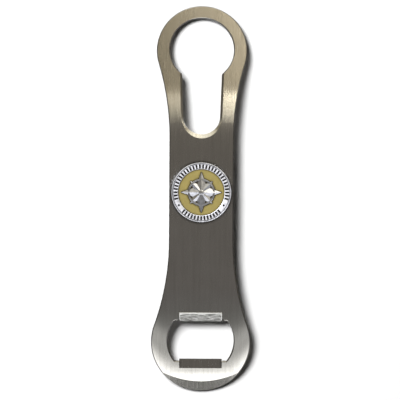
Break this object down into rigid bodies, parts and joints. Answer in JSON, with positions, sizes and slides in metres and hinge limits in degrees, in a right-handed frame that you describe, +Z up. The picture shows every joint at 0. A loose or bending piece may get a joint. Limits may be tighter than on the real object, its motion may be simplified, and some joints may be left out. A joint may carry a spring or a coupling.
{
  "type": "souvenir bottle opener",
  "caption": "Flat steel bar opener with a keyhole-shaped hanging ring, a crown-cap opening with two lips and a round medallion on its handle.",
  "frame": {"origin": "under the middle of the opener, on the surface that its two bent-down tips rest on", "axes": "+Y along the opener towards its hanging ring, +Z up out of the medallion, +X to the right of someone who faces the ring with the medallion up"},
  "size_m": [0.0456, 0.1778, 0.0132],
  "materials": {
    "brushed_plate": "satin",
    "cast_medallion": "satin",
    "gold_enamel": "gloss",
    "black_enamel": "gloss",
    "adhesive": "matte"
  },
  "bodies": {
    "root": {"opener_plate": "brushed_plate", "medallion": "cast_medallion", "field_enamel": "gold_enamel", "band_enamel": "black_enamel", "adhesive_pad": "adhesive"}
  },
  "joints": []
}
